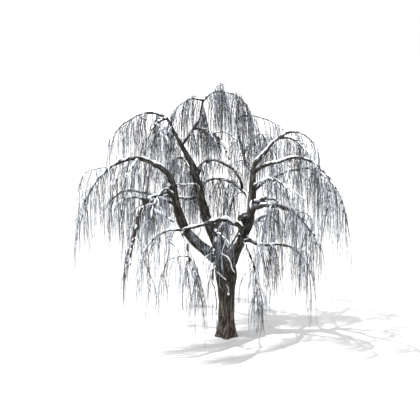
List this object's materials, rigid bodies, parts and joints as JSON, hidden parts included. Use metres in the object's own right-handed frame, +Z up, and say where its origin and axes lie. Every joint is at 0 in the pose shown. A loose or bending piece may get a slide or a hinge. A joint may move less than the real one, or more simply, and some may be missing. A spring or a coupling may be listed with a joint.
{
  "type": "weeping willow tree",
  "caption": "Bare weeping willow in winter: short thick trunk, limbs arching up and out, curtains of thin hanging whips, snow along the upper sides of its boughs.",
  "frame": {"origin": "middle of the trunk's flat cut at ground level", "axes": "+Z straight up along the trunk, -Y towards the side that the picture shows, +X to that view's right"},
  "size_m": [12.6756, 10.3129, 12.12],
  "materials": {
    "bark": "rough, furrowed, dark grey-brown",
    "twigs": "matt, thin, grey-brown to frosted blue-grey",
    "snow": "soft, matt, white"
  },
  "bodies": {
    "root": {"trunk": "bark", "left_limb": "bark", "centre_limb": "bark", "right_limb": "bark", "left_bough": "bark", "low_left_bough": "bark", "left_back_bough": "bark", "front_left_high_bough": "bark", "upper_left_bough": "bark", "back_left_bough": "bark", "back_bough": "bark", "top_bough": "bark", "inner_top_bough": "bark", "front_bough": "bark", "front_arm": "bark", "front_right_bough": "bark", "front_right_high_bough": "bark", "upper_right_bough": "bark", "right_bough": "bark", "mid_right_bough": "bark", "low_right_bough": "bark", "back_right_bough": "bark", "low_back_bough": "bark", "behind_bough": "bark", "middle_bough": "bark", "centre_back_bough": "bark", "high_back_bough": "bark", "left_curtain": "twigs", "low_left_curtain": "twigs", "left_side_curtain": "twigs", "left_back_curtain": "twigs", "front_left_high_curtain": "twigs", "upper_left_curtain": "twigs", "upper_front_curtain": "twigs", "back_left_curtain": "twigs", "back_curtain": "twigs", "top_curtain": "twigs", "top_left_curtain": "twigs", "inner_top_curtain": "twigs", "front_left_curtain": "twigs", "front_drop_curtain": "twigs", "front_centre_curtain": "twigs", "front_right_curtain": "twigs", "front_right_high_curtain": "twigs", "upper_right_curtain": "twigs", "high_right_curtain": "twigs", "right_curtain": "twigs", "mid_right_curtain": "twigs", "low_right_curtain": "twigs", "back_right_curtain": "twigs", "low_back_curtain": "twigs", "behind_curtain": "twigs", "middle_curtain": "twigs", "centre_back_curtain": "twigs", "high_back_curtain": "twigs", "left_bough_snow": "snow", "low_left_bough_snow": "snow", "front_bough_snow": "snow", "front_arm_snow": "snow", "upper_right_bough_snow": "snow"}
  },
  "joints": []
}
